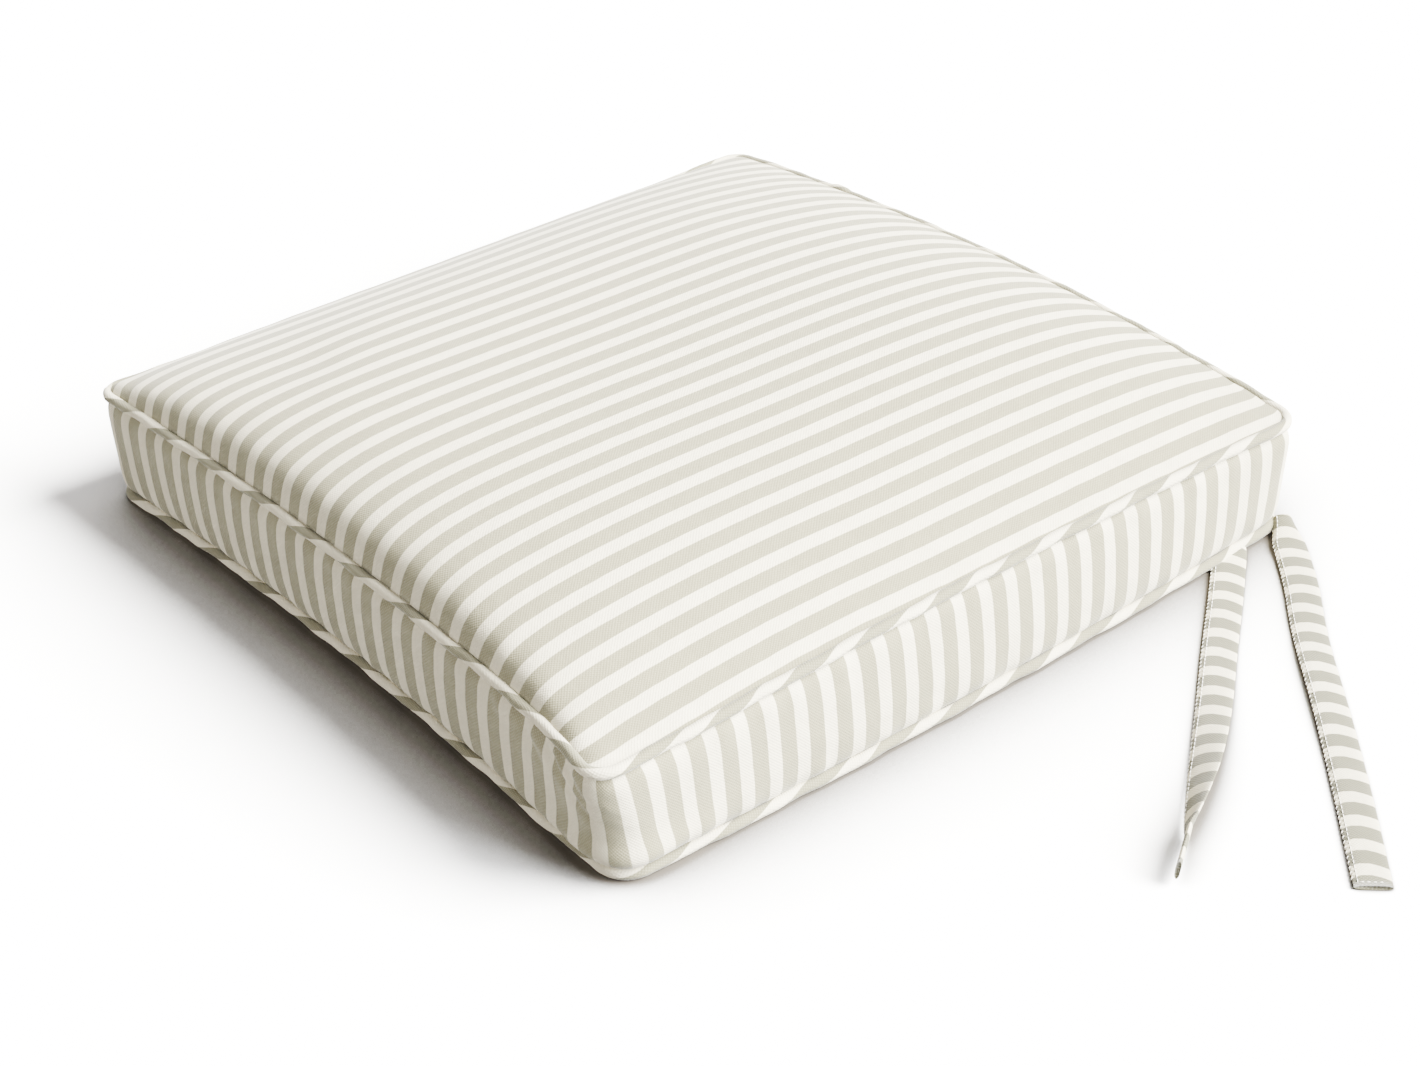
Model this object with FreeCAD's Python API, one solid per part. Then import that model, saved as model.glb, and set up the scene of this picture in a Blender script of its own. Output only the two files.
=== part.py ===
import FreeCAD, Part

import math
import os

from FreeCAD import Vector

# A piped box-edge seat pad: a foam and wadding filling in a striped cotton cover, with a zip
# across the back and two pairs of ties. Millimetres. +Z is up, the front edge faces -Y, and the
# origin is the middle of the underside.

# The whole pad
SIDE = 450.0                # outside of the piping, across and front to back
EDGE_HEIGHT = 68.0          # underside of the lower piping to the top of the upper one
CORNER_RADIUS = 24.0        # outside of the piping, seen from above
CROWN = 32.0                # how far the middle of the top stands above its edges
CLOTH = 0.8                 # thickness of the cover's cotton

# The piping: a strip of the cover's cloth round a cotton cord
PIPING_RADIUS = 2.8
PIPING_CORD_RADIUS = 2.1

# How far the cover's walls stand in from the outside of the piping
BOXING_INSET = 4.4
TOP_INSET = 5.8

# The filling
FOAM_BOTTOM = 8.0
FOAM_TOP = 60.0
FOAM_INSET = 12.0           # the wadding round the foam's four sides fills what is left

# The dome of the top: its slope falls off as a power of the cosine across the pad
DOME_POWER_X = 1.2
DOME_POWER_Y = 1.0
DOME_STEPS = 12

# The zip, centred on the back face
ZIP_HEIGHT = EDGE_HEIGHT / 2.0
ZIP_PANEL_LENGTH = 400.0
ZIP_OPENING = 7.2           # between the two folded edges of cloth
TAPE_WIDTH = 13.0
TAPE_THICKNESS = 0.5
COIL_LENGTH = 378.4
COIL_WIDTH = 1.6
COIL_THICKNESS = 1.6
COIL_GAP = 1.2              # between the two rows of teeth, for the slider's post
STOP_LENGTH = 2.0
STOP_THICKNESS = 2.0
TAPE_ROOM = 2.0             # groove left in the wadding behind the tapes, beyond their edges

# The slider, shut at the right-hand end as seen from the front
SLIDER_X = 184.0
SLIDER_LENGTH = 9.0
SLIDER_PLATE = 0.8
SLIDER_BACK_PLATE = 0.7
SLIDER_WALL = 0.7
SLIDER_POST = 0.6
SLIDER_POST_LENGTH = 2.0
RUNNING_GAP = 0.3
BRIDGE_LENGTH = 6.0
BRIDGE_WIDTH = 1.4
BRIDGE_BAR = 0.9
BRIDGE_OPENING = 1.4

# The pull, which swings on the slider's bridge
EYE_RADIUS = 0.4
PULL_ARM_INNER = 1.2
PULL_ARM_OUTER = 2.0
PULL_ARM_LENGTH = 6.0
PULL_LENGTH = 18.0
PULL_WIDTH = 5.0
PULL_THICKNESS = 0.9
PULL_HOLE = 2.2

# The ties: flat sewn strips that lie on the ground
TIE_WIDTH = 17.0
TIE_THICKNESS = 1.8
TIE_SEWN_IN = 0.7           # how far a tie's end reaches past the outside of the piping
TIE_ROUTES = {
    "tie_right_corner": [(213, 222), (251, 189), (293, 150), (338, 111), (385, 68), (431, 24)],
    "tie_right_side": [(206, 194), (239, 153), (272, 109), (308, 63), (343, 14), (374, -36)],
    "tie_left_corner": [(-212, 212), (-174, 250), (-119, 260), (-61, 255), (-3, 259), (54, 253)],
    "tie_left_side": [(-208, 196), (-247, 155), (-258, 99), (-252, 41), (-257, -17), (-250, -75)],
}


def pad_outline(inset, z):
    """The pad seen from above, a square with round corners, this far in from the piping's outside."""
    half = SIDE / 2.0 - inset
    radius = CORNER_RADIUS - inset
    middle = half - radius
    diagonal = middle + radius * math.sqrt(0.5)
    edges = []
    for turn in range(4):
        straight = Part.LineSegment(Vector(-middle, -half, z), Vector(middle, -half, z)).toShape()
        corner = Part.Arc(
            Vector(middle, -half, z), Vector(diagonal, -diagonal, z), Vector(half, -middle, z)
        ).toShape()
        for edge in (straight, corner):
            edge.rotate(Vector(0, 0, 0), Vector(0, 0, 1), 90.0 * turn)
            edges.append(edge)
    return Part.Wire(edges)


def pad_prism(inset, low, high):
    """An upright block of the pad's outline, between two heights."""
    return Part.Face(pad_outline(inset, low)).extrude(Vector(0, 0, high - low))


def box(x, y, z):
    """A box from three (low, high) pairs."""
    size = [high - low for low, high in (x, y, z)]
    return Part.makeBox(*size, Vector(x[0], y[0], z[0]))


def save(name, shape):
    """Writes one piece, after checking that it is one or more sound solids."""
    shape = shape.removeSplitter()
    if not shape.isValid() or not shape.Solids:
        raise ValueError(name + " is not a sound solid")
    shape.exportStep("parts/" + name + ".step")
    print(f"{name:22s} {len(shape.Solids)} solid, {shape.Volume / 1000.0:9.2f} cm3")


# The piping


def piping_centre(upper):
    return EDGE_HEIGHT - PIPING_RADIUS if upper else PIPING_RADIUS


def piping_ring(radius, z):
    """A round bar that follows the pad's outline at the piping's centre."""
    path = pad_outline(PIPING_RADIUS, z)
    start = Vector(0, -(SIDE / 2.0 - PIPING_RADIUS), z)
    middle = SIDE / 2.0 - CORNER_RADIUS
    straight = Part.makeCylinder(radius, 2.0 * middle, start - Vector(middle, 0, 0), Vector(1, 0, 0))
    bend = Part.makeTorus(CORNER_RADIUS - PIPING_RADIUS, radius, Vector(middle, -middle, z))
    bend = bend.common(box((middle, SIDE), (-SIDE, -middle), (z - SIDE, z + SIDE)))
    pieces = []
    for turn in range(4):
        for piece in (straight, bend):
            turned = piece.copy()
            turned.rotate(Vector(0, 0, 0), Vector(0, 0, 1), 90.0 * turn)
            pieces.append(turned)
    ring = pieces[0].fuse(pieces[1:])
    expected = math.pi * radius**2 * path.Length
    print(f"piping r {radius}: volume over section x length {ring.Volume / expected:.4f}")
    return ring


def make_piping(name, upper):
    z = piping_centre(upper)
    cord = piping_ring(PIPING_CORD_RADIUS, z)
    save(name + "_cord", cord)
    save(name + "_cover", piping_ring(PIPING_RADIUS, z).cut(cord))


def piping_reach(offset):
    """Half the height of the piping's section, this far from its centre."""
    return math.sqrt(PIPING_RADIUS**2 - offset**2)


# The cloth panels


def dome_face(drop):
    """The crowned top as one smooth surface, lowered by drop."""
    half = SIDE / 2.0 - TOP_INSET
    base = piping_centre(True) + CLOTH - drop
    grid = []
    for i in range(DOME_STEPS + 1):
        across = math.pi * (i / DOME_STEPS - 0.5)
        row = []
        for j in range(DOME_STEPS + 1):
            along = math.pi * (j / DOME_STEPS - 0.5)
            rise = max(math.cos(across), 0.0) ** DOME_POWER_X * max(math.cos(along), 0.0) ** DOME_POWER_Y
            row.append(Vector(half * math.sin(across), half * math.sin(along), base + CROWN * rise))
        grid.append(row)
    surface = Part.BSplineSurface()
    surface.interpolate(grid)
    return surface.toShape()


def under_dome(drop, depth):
    """Everything from the dome's surface down by depth, inside the upper piping."""
    low = piping_centre(True) - SIDE
    block = dome_face(drop).extrude(Vector(0, 0, -depth))
    return block.common(pad_prism(TOP_INSET, low, SIDE))


def make_panels():
    save("top_panel", under_dome(0.0, CLOTH))
    bottom_inset = PIPING_RADIUS + piping_reach(PIPING_RADIUS - CLOTH)
    save("bottom_panel", pad_prism(bottom_inset, 0.0, CLOTH))


def boxing_heights():
    """The edges of the side walls, where they meet the lower and the upper piping."""
    reach = piping_reach(BOXING_INSET - PIPING_RADIUS)
    return piping_centre(False) + reach, piping_centre(True) - reach


def make_boxing():
    """The wall of cloth round the front and both sides, which turns both back corners."""
    low, high = boxing_heights()
    wall = pad_prism(BOXING_INSET, low, high).cut(pad_prism(BOXING_INSET + CLOTH, low, high))
    half = ZIP_PANEL_LENGTH / 2.0
    save("boxing_band", wall.cut(box((-half, half), (0.0, SIDE), (low - 1.0, high + 1.0))))


# The filling


def back_outside():
    """The outer face of the cloth across the back."""
    return SIDE / 2.0 - BOXING_INSET


def back_inside():
    return back_outside() - CLOTH


def make_filling():
    """The foam block and the wadding wrapped round it, as upper, side and lower stretches."""
    foam_outline = pad_prism(FOAM_INSET, FOAM_BOTTOM, FOAM_TOP)
    save("foam_core", foam_outline)
    half_width = COIL_GAP / 2.0 + TAPE_WIDTH + TAPE_ROOM
    groove = box(
        (-ZIP_PANEL_LENGTH / 2.0, ZIP_PANEL_LENGTH / 2.0),
        (slider_back() - RUNNING_GAP, back_outside()),
        (ZIP_HEIGHT - half_width, ZIP_HEIGHT + half_width),
    )
    wall = pad_prism(BOXING_INSET + CLOTH, FOAM_BOTTOM, FOAM_TOP).cut(foam_outline)
    save("wadding_wall", wall.cut(groove))
    dome = under_dome(CLOTH, SIDE / 2.0)
    save("wadding_top", dome.common(pad_prism(TOP_INSET, FOAM_TOP, SIDE)))
    save("wadding_bottom", pad_prism(TOP_INSET, CLOTH, FOAM_BOTTOM))


# The zip


def tape_inside():
    return back_inside() - TAPE_THICKNESS


def coil_outside():
    return back_inside() + COIL_THICKNESS


def slider_back():
    """The innermost face of the slider, behind the tapes."""
    return tape_inside() - RUNNING_GAP - SLIDER_BACK_PLATE


def mirrored(shape):
    """The same shape on the other side of the zip's middle line."""
    return shape.mirror(Vector(0, 0, ZIP_HEIGHT), Vector(0, 0, 1))


def make_zip_panel():
    low, high = boxing_heights()
    half = ZIP_PANEL_LENGTH / 2.0
    panel = ((-half, half), (back_inside(), back_outside()))
    save("zip_strip_upper", box(*panel, (ZIP_HEIGHT + ZIP_OPENING / 2.0, high)))
    save("zip_strip_lower", box(*panel, (low, ZIP_HEIGHT - ZIP_OPENING / 2.0)))


def make_zip_chain():
    half = ZIP_PANEL_LENGTH / 2.0
    inner = ZIP_HEIGHT + COIL_GAP / 2.0
    tape = box((-half, half), (tape_inside(), back_inside()), (inner, inner + TAPE_WIDTH))
    save("zip_tape_upper", tape)
    save("zip_tape_lower", mirrored(tape))
    end = COIL_LENGTH / 2.0
    coil = box((-end, end), (back_inside(), coil_outside()), (inner, inner + COIL_WIDTH))
    save("zip_coil_upper", coil)
    save("zip_coil_lower", mirrored(coil))
    depth = (back_inside(), back_inside() + STOP_THICKNESS)
    top_stop = box((end, end + STOP_LENGTH), depth, (inner, inner + COIL_WIDTH))
    save("zip_top_stops", Part.makeCompound([top_stop, mirrored(top_stop)]))
    width = (ZIP_HEIGHT - COIL_GAP / 2.0 - COIL_WIDTH, inner + COIL_WIDTH)
    save("zip_bottom_stop", box((-end - STOP_LENGTH, -end), depth, width))


def pull_axis_y():
    """The depth of the pin that the pull turns on."""
    return coil_outside() + RUNNING_GAP + SLIDER_PLATE + BRIDGE_OPENING / 2.0


def make_slider():
    """Two plates joined by a post at the nose, side walls round the coils and a bridge on top."""
    length = (SLIDER_X - SLIDER_LENGTH / 2.0, SLIDER_X + SLIDER_LENGTH / 2.0)
    wall_inner = COIL_GAP / 2.0 + COIL_WIDTH + RUNNING_GAP
    wall_outer = wall_inner + SLIDER_WALL
    width = (ZIP_HEIGHT - wall_outer, ZIP_HEIGHT + wall_outer)
    plate_low = coil_outside() + RUNNING_GAP
    plate_high = plate_low + SLIDER_PLATE
    plate = box(length, (plate_low, plate_high), width)
    back_plate = box(length, (slider_back(), slider_back() + SLIDER_BACK_PLATE), width)
    post = box(
        (length[1] - SLIDER_POST_LENGTH, length[1]),
        (slider_back(), plate_high),
        (ZIP_HEIGHT - SLIDER_POST / 2.0, ZIP_HEIGHT + SLIDER_POST / 2.0),
    )
    wall = box(
        length,
        (back_inside() + RUNNING_GAP, plate_high),
        (ZIP_HEIGHT + wall_inner, ZIP_HEIGHT + wall_outer),
    )
    bridge_top = plate_high + BRIDGE_OPENING + BRIDGE_BAR
    bridge = box(
        (SLIDER_X - BRIDGE_LENGTH / 2.0, SLIDER_X + BRIDGE_LENGTH / 2.0),
        (plate_low, bridge_top),
        (ZIP_HEIGHT - BRIDGE_WIDTH / 2.0, ZIP_HEIGHT + BRIDGE_WIDTH / 2.0),
    )
    opening = box(
        (SLIDER_X - BRIDGE_LENGTH / 2.0 + BRIDGE_BAR, SLIDER_X + BRIDGE_LENGTH / 2.0 - BRIDGE_BAR),
        (plate_high, plate_high + BRIDGE_OPENING),
        (ZIP_HEIGHT - BRIDGE_WIDTH, ZIP_HEIGHT + BRIDGE_WIDTH),
    )
    save("zip_slider", plate.fuse([back_plate, post, wall, mirrored(wall), bridge.cut(opening)]))


def make_pull():
    """A pin through the bridge, two arms and a flat tab, lying back along the closed zip."""
    axis = pull_axis_y()
    pin = Part.makeCylinder(
        EYE_RADIUS,
        2.0 * PULL_ARM_OUTER,
        Vector(SLIDER_X, axis, ZIP_HEIGHT - PULL_ARM_OUTER),
        Vector(0, 0, 1),
    )
    depth = (axis - EYE_RADIUS, axis + EYE_RADIUS)
    tab_start = SLIDER_X - PULL_ARM_LENGTH
    arm = box(
        (tab_start, SLIDER_X), depth, (ZIP_HEIGHT + PULL_ARM_INNER, ZIP_HEIGHT + PULL_ARM_OUTER)
    )
    tab = box(
        (tab_start - PULL_LENGTH, tab_start),
        (axis - PULL_THICKNESS / 2.0, axis + PULL_THICKNESS / 2.0),
        (ZIP_HEIGHT - PULL_WIDTH / 2.0, ZIP_HEIGHT + PULL_WIDTH / 2.0),
    )
    tab = tab.makeFillet(PULL_WIDTH / 3.0, [e for e in tab.Edges if is_end_corner(e, tab_start)])
    hole = Part.makeCylinder(
        PULL_HOLE / 2.0,
        2.0 * PULL_THICKNESS,
        Vector(tab_start - PULL_LENGTH + PULL_HOLE * 1.5, axis - PULL_THICKNESS, ZIP_HEIGHT),
        Vector(0, 1, 0),
    )
    save("zip_pull", tab.cut(hole).fuse([pin, arm, mirrored(arm)]))


def is_end_corner(edge, tab_start):
    """True for the two short edges at the free end of the pull's tab."""
    middle = edge.CenterOfMass
    across = abs(edge.Vertexes[0].Point.y - edge.Vertexes[-1].Point.y) > PULL_THICKNESS / 2.0
    return across and middle.x < tab_start - PULL_LENGTH / 2.0


# The ties


def rounded_route(name, points):
    """Straight runs joined by tangent arcs, each arc as large as its two runs allow."""
    edges = []
    last = points[0]
    radii = []
    for before, here, after in zip(points, points[1:], points[2:]):
        back = (before - here).normalize()
        onward = (after - here).normalize()
        turn = math.pi - back.getAngle(onward)
        reach = 0.45 * min((before - here).Length, (after - here).Length)
        radii.append(reach / math.tan(turn / 2.0))
        inward = (back + onward).normalize()
        centre = here + inward * math.hypot(radii[-1], reach)
        start, end = here + back * reach, here + onward * reach
        edges.append(Part.LineSegment(last, start).toShape())
        edges.append(Part.Arc(start, centre - inward * radii[-1], end).toShape())
        last = end
    edges.append(Part.LineSegment(last, points[-1]).toShape())
    print(name, "bend radii", [round(radius) for radius in radii])
    return Part.Wire(edges)


def make_tie(name, points):
    """A flat strip along its route, its end tucked under the lower piping's seam."""
    height = TIE_THICKNESS / 2.0
    route = rounded_route(name, [Vector(x, y, height) for x, y in points])
    along = Vector(points[1][0] - points[0][0], points[1][1] - points[0][1], 0).normalize()
    across = Vector(-along.y, along.x, 0) * (TIE_WIDTH / 2.0)
    up = Vector(0, 0, height)
    start = Vector(*points[0], height)
    corners = [
        start + across + up,
        start - across + up,
        start - across - up,
        start + across - up,
    ]
    section = Part.makePolygon(corners + corners[:1])
    strip = route.makePipeShell([section], True, False)
    expected = TIE_WIDTH * TIE_THICKNESS * route.Length
    print(f"{name}: length {route.Length:.1f}, volume over section x length {strip.Volume / expected:.4f}")
    save(name, strip.cut(pad_prism(TIE_SEWN_IN, -EDGE_HEIGHT, EDGE_HEIGHT)))


os.makedirs("parts", exist_ok=True)
make_filling()
make_panels()
make_boxing()
make_piping("top_piping", True)
make_piping("bottom_piping", False)
make_zip_panel()
make_zip_chain()
make_slider()
make_pull()
for tie_name, tie_points in TIE_ROUTES.items():
    make_tie(tie_name, tie_points)
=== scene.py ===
"""Striped cotton chair seat pad with piped edges and fabric ties: how it looks.

Metres, in the frame's axes: the floor is z = 0, the front is -Y and the zip is at the back, +Y.
Places round the pad are "turns": 0 is the middle of the front, 1 of the right side, 2 of the back
and 3 of the left, and the corners are at 0.5, 1.5, 2.5 and 3.5.
"""

import math

import bpy
import numpy as np
from mathutils import Matrix, Vector


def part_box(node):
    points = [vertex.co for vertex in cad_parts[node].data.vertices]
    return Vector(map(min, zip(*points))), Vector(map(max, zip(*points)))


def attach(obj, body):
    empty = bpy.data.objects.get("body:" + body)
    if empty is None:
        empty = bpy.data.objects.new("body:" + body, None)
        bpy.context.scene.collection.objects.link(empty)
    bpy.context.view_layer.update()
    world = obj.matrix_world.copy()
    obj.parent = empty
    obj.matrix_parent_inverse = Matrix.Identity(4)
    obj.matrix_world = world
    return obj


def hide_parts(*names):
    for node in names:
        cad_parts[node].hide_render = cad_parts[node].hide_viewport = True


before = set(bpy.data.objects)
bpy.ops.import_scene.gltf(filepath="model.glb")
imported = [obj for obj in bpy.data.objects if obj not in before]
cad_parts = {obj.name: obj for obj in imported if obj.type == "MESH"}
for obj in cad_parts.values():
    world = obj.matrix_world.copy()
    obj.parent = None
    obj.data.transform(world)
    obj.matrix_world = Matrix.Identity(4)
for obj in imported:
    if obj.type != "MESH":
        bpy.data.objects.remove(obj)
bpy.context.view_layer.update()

MM = 0.001

# ---- the camera, at the photograph's viewpoint: above the near right corner ----

CAMERA_PLACE = (0.90526, -0.70679, 0.72057)
CAMERA_AHEAD = (-0.65862, 0.52416, -0.53989)
CAMERA_LEAN = -0.0322          # how far it leans over, radians
CAMERA_LENS = 64.8

# ---- the pad's shape ----

HALF = 0.2214                  # seam centreline, from the pad's middle to the middle of a side
PIPING_RADIUS = 2.8 * MM
PIPING_CORD_RADIUS = 2.1 * MM
CLOTH = 0.8 * MM               # thickness of the cotton
FRONT, RIGHT, BACK, LEFT = 0, 1, 2, 3
NEAR_CORNER = 0.5              # turns from the front's middle to the corner nearest the viewer

# The two piped seams. Sides bow out (+) or in (-) and rise between the corners: front, right, back, left.
TOP_SEAM = {
    "half": HALF - 1.5 * MM,
    "radius": 12.0 * MM,
    "z": 62.8 * MM,
    "bows": (-5.8 * MM, -1.9 * MM, 8.0 * MM, -7.5 * MM),
    "lifts": (3.0 * MM, 3.0 * MM, 6.8 * MM, 1.5 * MM),
    "near_corner": (-1.0 * MM, -4.0 * MM),
}
BOTTOM_SEAM = {
    "half": HALF - 2.8 * MM,
    "radius": 16.0 * MM,
    "z": PIPING_RADIUS * 1.04,
    "bows": (-6.2 * MM, 5.2 * MM, 2.6 * MM, -2.4 * MM),
    "lifts": (3.8 * MM, 0.5 * MM, 2.0 * MM, 2.0 * MM),
    "near_corner": (-0.4 * MM, 2.6 * MM),
}

CROWN = 32 * MM                # rise of the top above its seam
# How fast the top rises from each seam: a length, and a power under 1 for a steep rolled edge.
EDGES = {
    FRONT: (11 * MM, 0.55),
    RIGHT: (78 * MM, 1.15),
    BACK: (56 * MM, 0.96),
    LEFT: (42 * MM, 0.76),
}
BELLIES = (3.6 * MM, 3.2 * MM, 0.8 * MM, 3.2 * MM)   # bulge of the boxing, front, right, back, left
CORNER_BELLY = 3.0 * MM
LOW_ROLL = 4.0 * MM            # how far the near corner's lowest part rolls out over the piping
SEAM_TUCK = 1.8 * MM           # how far inside the pipings' centres the boxing is sewn
BOXING_GAP = 1.8 * MM          # and how far short of them its edges stop
TOP_TUCK = 0.7 * MM            # how far inside the piping's centre the top panel is sewn
TOP_SEWN = 1.2 * MM            # and how far above it
UPPER_POWER = 8.0              # the boxing drops straight from under the top piping
LOWER_POWER = 7.0              # and curves in over its lowest part

# Creases on the boxing by the near corner. Each starts this far before the corner at the top seam,
# slants this far on its way down, and has a half-width, a depth, and the height where it dies out.
CREASES = (
    (-48 * MM, 92 * MM, 4.4 * MM, 1.8 * MM, 0.42),
    (-30 * MM, 74 * MM, 3.8 * MM, 1.3 * MM, 0.50),
    (-68 * MM, 80 * MM, 4.6 * MM, 0.9 * MM, 0.60),
    (-92 * MM, 40 * MM, 4.4 * MM, 0.6 * MM, 0.66),
)
# What the pressure in the cloth simulation may add: the most it swells, and rounds of smoothing.
TOP_SWELL = (1.8 * MM, 40)
BOXING_SWELL = (0.7 * MM, 6)

CELLS_PER_SIDE = 108           # mesh cells of the top panel along one side
BOXING_CELLS = 150             # and of the boxing
BOXING_ROWS = 26

# ---- the cloth ----

PITCH = 16.48 * MM             # one ivory and one sage stripe
IVORY_SHARE = 0.45
FRONT_IVORY_X = -177.2 * MM    # middle of an ivory stripe on the front boxing
RIGHT_IVORY_Y = -215.5 * MM    # and of one on the right side
CORNER_STRIPE = 24             # pairs from that front stripe to the ivory one the near corner shares
CORNER_RADIUS = 17.4 * MM      # of the boxing's corners, measured along the cloth
TOP_STRIPES = 26.9             # stripe pairs across the top panel
TOP_FIRST = 0.69               # pairs between the left seam and the first ivory stripe's middle
MORE_STRIPES = 1.7             # how many more the full middle holds than the front seam
TOP_SLIP = 1.50                # pairs the stripes slip to the right towards the back
FRONT_SLIDE = 12.0 * MM        # how far the front boxing's stripes slip towards the near corner
BIAS = math.radians(22)        # angle of the piping's stripes to its cord
FRONT_EASE = 0.55              # how much wider the ivory shows along the front piping
# painted shade: the wider sage darkens the piping along the back
BACK_SHADE_EASE = -0.55              # and the sage along the back
JOIN_PLACE = 2.3               # turns: where the upper piping's ends overlap
JOIN_LENGTH = 6 * MM           # half the length of the overlap
JOIN_BULGE = 0.38              # how much thicker the piping is there
THREAD = 0.85 * MM             # spacing of the weave

# ---- ties: the routes of the CAD ties, millimetres, each from its foot under the pad ----

TIE_WIDTH = 17 * MM
TIE_THICKNESS = 2.4 * MM
TIE_ROUTES = {
    "tie_right_corner": [
        (219, 218, 2.6), (254, 190, 1.0), (293, 150, 0.95),
        (338, 111, 0.95), (385, 68, 0.95), (431, 24, 0.95),
    ],
    "tie_right_side": [
        (206, 194, 2.6), (239, 153, 1.0), (272, 109, 0.95),
        (308, 63, 3.0), (343, 14, 7.4), (374, -36, 8.2),
    ],
    "tie_left_corner": [
        (-212, 212, 2.6), (-174, 250, 1.0), (-119, 260, 0.95),
        (-61, 255, 0.95), (-3, 259, 0.95), (54, 253, 0.95),
    ],
    "tie_left_side": [
        (-208, 196, 2.6), (-247, 155, 1.0), (-258, 99, 0.95),
        (-252, 41, 0.95), (-257, -17, 0.95), (-250, -75, 0.95),
    ],
}
ROLLED_TIE = "tie_right_side"  # this one turns up on its edge towards its end
STITCH_RADIUS = 0.22 * MM      # of the sewing thread, in a stitch

# ---- zip ----

ZIP_HALF = 0.200               # half-length of the two strips that hold the zip
TAPE_HEIGHTS = {"lower": (20.4 * MM, 33.4 * MM), "upper": (34.6 * MM, 47.6 * MM)}
COIL_HEIGHTS = {"lower": 32.9 * MM, "upper": 35.1 * MM}
COIL_HALF = 189.2 * MM         # half-length of the rows of teeth
BACK_FACE = 220.6 * MM         # how far back the zip lies
TOOTH_PITCH = 1.6 * MM

# ---- filling: a square block's half side, its low and high z, and its edges' radius ----

WADDING_SLAB = (203 * MM, 2.0 * MM, 6.8 * MM, 2 * MM)
FOAM_BLOCK = (199 * MM, 7.4 * MM, 57.8 * MM, 5 * MM)
WADDING_TOP_Z = (58.5 * MM, 59.5 * MM)   # the upper wadding's underside, and its lowest upper side
WADDING_SINK = (3.2 * MM, 3.4 * MM)      # how far the wadding stays inside the top and the boxing
WALL_THICKNESS = 7 * MM                  # of the wadding round the foam's sides

# ---- colours ----

IVORY = (0.585, 0.54, 0.395)
SAGE = (0.178, 0.165, 0.097)
# painted shade: the ties are the same cotton as the cover, with their sage painted darker
TIE_SHADED_SAGE = (0.088, 0.085, 0.051)
# painted shade: the piping is the same cotton as the cover, with its sage painted darker
PIPING_SHADED_SAGE = (0.148, 0.139, 0.083)
THREAD_IVORY = (0.82, 0.79, 0.71)
CORD_IVORY = (0.80, 0.77, 0.69)
TAPE_IVORY = (0.72, 0.69, 0.61)
TEETH_IVORY = (0.70, 0.67, 0.60)
WADDING_WHITE = (0.86, 0.86, 0.84)
FOAM_CREAM = (0.83, 0.75, 0.52)
NICKEL = (0.66, 0.64, 0.60)
FLOOR_WHITE = (1.7, 1.7, 1.7)
# painted shadow: the colour the floor is painted close under the pad
FLOOR_SHADOW = (0.085, 0.075, 0.062)     # close under the pad
SHADOW_REACH = 0.165                     # how far from the pad the floor starts to darken


# ==== camera, lights and floor ====


def place_camera():
    camera = bpy.data.cameras.new("camera")
    camera.lens = CAMERA_LENS
    camera.sensor_width = 36.0
    camera.dof.use_dof = False
    camera.clip_start = 0.01
    holder = bpy.data.objects.new("camera", camera)
    bpy.context.collection.objects.link(holder)
    ahead = Vector(CAMERA_AHEAD).normalized()
    level = ahead.cross(Vector((0, 0, 1))).normalized()
    above = level.cross(ahead)
    right = level * math.cos(CAMERA_LEAN) + above * math.sin(CAMERA_LEAN)
    up = above * math.cos(CAMERA_LEAN) - level * math.sin(CAMERA_LEAN)
    turn = Matrix((right, up, -ahead)).transposed().to_4x4()
    holder.matrix_world = Matrix.Translation(CAMERA_PLACE) @ turn
    bpy.context.scene.camera = holder


def place_sun(name, direction, strength, softness, colour):
    """A sun that shines from a direction. softness is how wide it looks, in degrees."""
    light = bpy.data.lights.new(name, "SUN")
    light.energy = strength
    light.angle = math.radians(softness)
    light.color = colour
    holder = bpy.data.objects.new(name, light)
    bpy.context.collection.objects.link(holder)
    away = Vector(direction)
    holder.location = away
    holder.rotation_euler = away.to_track_quat("Z", "Y").to_euler()


def place_lights():
    """A broad soft light from behind on the right, with a bright even surround."""
    place_sun("key", (0.60, 0.72, 0.86), 36.0, 34, (1.0, 0.985, 0.94))
    place_sun("side", (1.0, 0.62, 0.45), 24.0, 36, (0.98, 0.99, 1.0))
    place_sun("fill", (-0.3, -1.0, 0.14), 3.5, 40, (1.0, 0.96, 0.93))
    world = bpy.data.worlds.new("surround")
    world.use_nodes = True
    surround = world.node_tree.nodes["Background"]
    surround.inputs["Color"].default_value = (1.0, 0.965, 0.96, 1)
    surround.inputs["Strength"].default_value = 0.45
    bpy.context.scene.world = world


# ==== materials ====


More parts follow.
